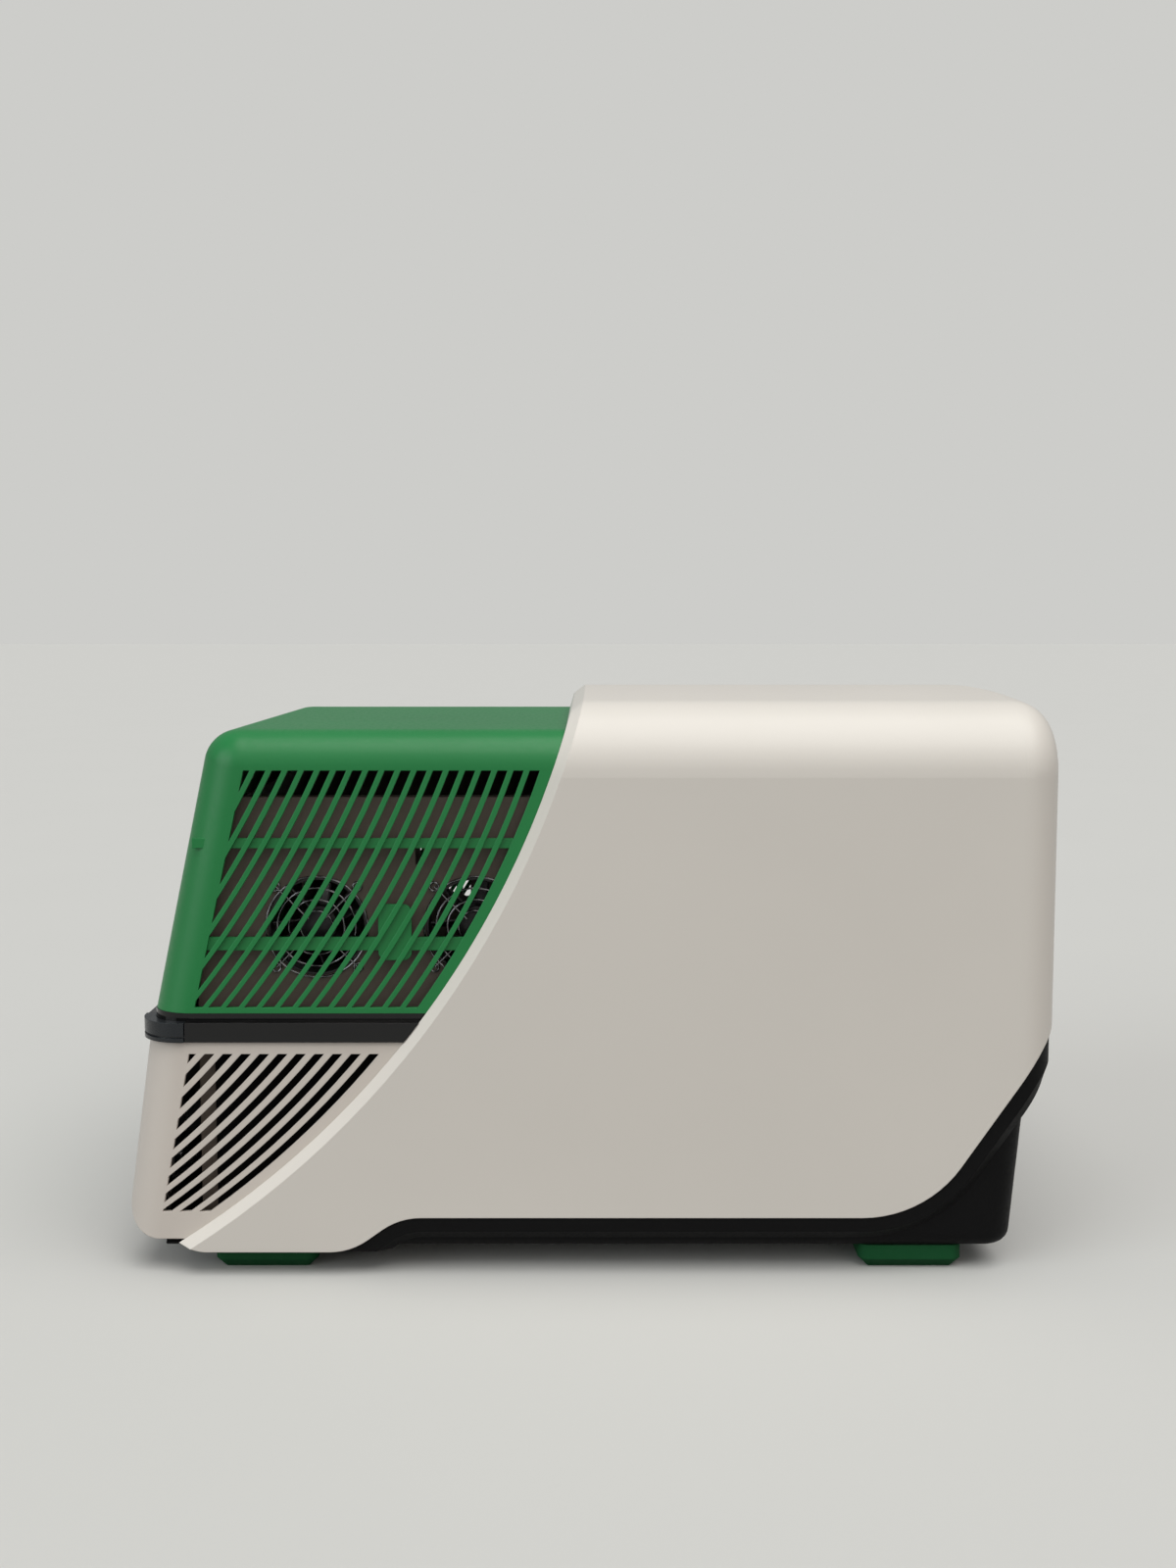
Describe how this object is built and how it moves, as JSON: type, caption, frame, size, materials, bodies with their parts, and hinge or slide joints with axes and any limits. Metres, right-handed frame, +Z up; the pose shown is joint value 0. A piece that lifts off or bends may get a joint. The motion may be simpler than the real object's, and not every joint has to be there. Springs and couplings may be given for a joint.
{
  "type": "thermal cycler",
  "caption": "Bench thermal cycler with a sweeping white hood, slatted green rear cover, touchscreen and a motor-driven sample drawer.",
  "frame": {"origin": "centre of the bounding box, on the surface the feet stand on", "axes": "+Z up, front with the touchscreen faces -Y, +X to the instrument's left as it faces the user"},
  "size_m": [0.33, 0.567, 0.352],
  "materials": {
    "hood_white": "satin white moulding",
    "base_black": "fine black texture",
    "cover_green": "fine green texture",
    "cover_white": "fine white texture",
    "band_black": "black gloss",
    "cap_black": "black satin",
    "foot_green": "green rubber",
    "zinc_sheet": "zinc plated sheet",
    "wall_sheet": "taupe painted sheet",
    "fan_black": "black",
    "guard_chrome": "bright wire",
    "board_green": "solder mask",
    "brass": "turned",
    "panel_steel": "brushed",
    "inlet_black": "black",
    "rocker_black": "black",
    "socket_steel": "bright",
    "screw_steel": "zinc",
    "bezel_black": "black",
    "screen_glass": "dark glass",
    "light_clear": "translucent",
    "button_grey": "satin grey",
    "drawer_black": "fine black texture",
    "tray_steel": "brushed",
    "sink_aluminium": "milled",
    "peltier_white": "ceramic",
    "block_aluminium": "anodised",
    "surround_black": "black",
    "slide_steel": "ground",
    "frame_aluminium": "anodised",
    "rod_steel": "ground",
    "motor_black": "black",
    "carriage_black": "anodised black",
    "lens_glass": "polished",
    "belt_rubber": "moulded"
  },
  "bodies": {
    "chassis": {"white_hood": "hood_white", "base_tray": "base_black", "upper_rear_cover": "cover_green", "lower_rear_cover": "cover_white", "rear_band": "band_black", "corner_caps": "cap_black", "feet": "foot_green", "chassis_pan": "zinc_sheet", "left_wall": "wall_sheet", "right_wall": "wall_sheet", "rear_bulkhead": "wall_sheet", "fan_frames": "fan_black", "fan_guards": "guard_chrome", "power_supply": "zinc_sheet", "main_board": "board_green", "board_standoffs": "brass", "io_panel": "panel_steel", "power_inlet": "inlet_black", "switch_frame": "inlet_black", "network_socket": "socket_steel", "usb_sockets": "socket_steel", "case_screws": "screw_steel", "screen_bezel": "bezel_black", "screen_glass": "screen_glass", "display_module": "board_green", "status_light": "light_clear", "button_board": "board_green", "slide_rails": "slide_steel", "frame_plates": "frame_aluminium", "lid_bridge": "frame_aluminium", "lid_posts": "rod_steel", "lid_motor": "motor_black", "drawer_motor": "motor_black", "drawer_motor_block": "frame_aluminium", "guide_rods": "rod_steel", "shuttle_motor": "motor_black", "idler_bracket": "frame_aluminium", "shuttle_belt": "belt_rubber"},
    "drawer": {"drawer_front": "drawer_black", "drawer_tray": "tray_steel", "heat_sink": "sink_aluminium", "peltier_modules": "peltier_white", "sample_block": "block_aluminium", "block_surround": "surround_black", "slide_tongues": "slide_steel", "drawer_nut": "brass"},
    "drawer_screw": {"drawer_screw": "rod_steel"},
    "heated_lid": {"lid_platen": "block_aluminium", "lid_carrier": "frame_aluminium", "lid_bushes": "brass"},
    "lid_screw": {"lid_screw": "rod_steel"},
    "optics_shuttle": {"shuttle_carriage": "carriage_black", "shuttle_bushes": "brass", "shuttle_lenses": "lens_glass"},
    "drive_pulley": {"drive_pulley": "frame_aluminium"},
    "idler_pulley": {"idler_pulley": "frame_aluminium"},
    "rear_fan_rotor": {"rear_fan_rotor": "fan_black"},
    "front_fan_rotor": {"front_fan_rotor": "fan_black"},
    "power_button": {"power_button": "button_grey"},
    "switch_rocker": {"switch_rocker": "rocker_black"}
  },
  "joints": [
    {"name": "drawer_slide", "type": "slide", "parent": "chassis", "child": "drawer", "axis": [0, -1, 0], "range_m": [0, 0.15]},
    {"name": "drawer_screw_spin", "type": "hinge", "parent": "chassis", "child": "drawer_screw", "pos_m": [0.076, -0.1835, 0.046], "axis": [0, -1, 0], "range_deg": [0, 6750]},
    {"name": "lid_lift", "type": "slide", "parent": "chassis", "child": "heated_lid", "axis": [0, 0, 1], "range_m": [0, 0.008]},
    {"name": "lid_screw_spin", "type": "hinge", "parent": "chassis", "child": "lid_screw", "pos_m": [0, -0.124, 0.12], "axis": [0, 0, 1], "range_deg": [0, 720]},
    {"name": "shuttle_slide", "type": "slide", "parent": "chassis", "child": "optics_shuttle", "axis": [1, 0, 0], "range_m": [-0.045, 0.045]},
    {"name": "drive_pulley_spin", "type": "hinge", "parent": "chassis", "child": "drive_pulley", "pos_m": [-0.0853, -0.242, 0.19], "axis": [0, 1, 0], "range_deg": [-293, 293]},
    {"name": "idler_pulley_spin", "type": "hinge", "parent": "chassis", "child": "idler_pulley", "pos_m": [0.0853, -0.242, 0.19], "axis": [0, 1, 0], "range_deg": [-293, 293]},
    {"name": "rear_fan_spin", "type": "hinge", "parent": "chassis", "child": "rear_fan_rotor", "pos_m": [-0.135, 0.1645, 0.212], "axis": [1, 0, 0], "continuous": true},
    {"name": "front_fan_spin", "type": "hinge", "parent": "chassis", "child": "front_fan_rotor", "pos_m": [-0.135, 0.0685, 0.212], "axis": [1, 0, 0], "continuous": true},
    {"name": "power_button_press", "type": "slide", "parent": "chassis", "child": "power_button", "axis": [0, 1, 0], "range_m": [0, 0.002], "stiffness_N_per_m": 400},
    {"name": "switch_rocker_tilt", "type": "hinge", "parent": "chassis", "child": "switch_rocker", "pos_m": [-0.0665, 0.265, 0.105], "axis": [1, 0, 0], "range_deg": [0, 18]}
  ],
  "couplings": [
    {"joint": "drawer_screw_spin", "follows": "drawer_slide", "rad_per_m": 785.4},
    {"joint": "lid_screw_spin", "follows": "lid_lift", "rad_per_m": 1570.8},
    {"joint": "drive_pulley_spin", "follows": "shuttle_slide", "rad_per_m": -113.64},
    {"joint": "idler_pulley_spin", "follows": "shuttle_slide", "rad_per_m": -113.64}
  ]
}
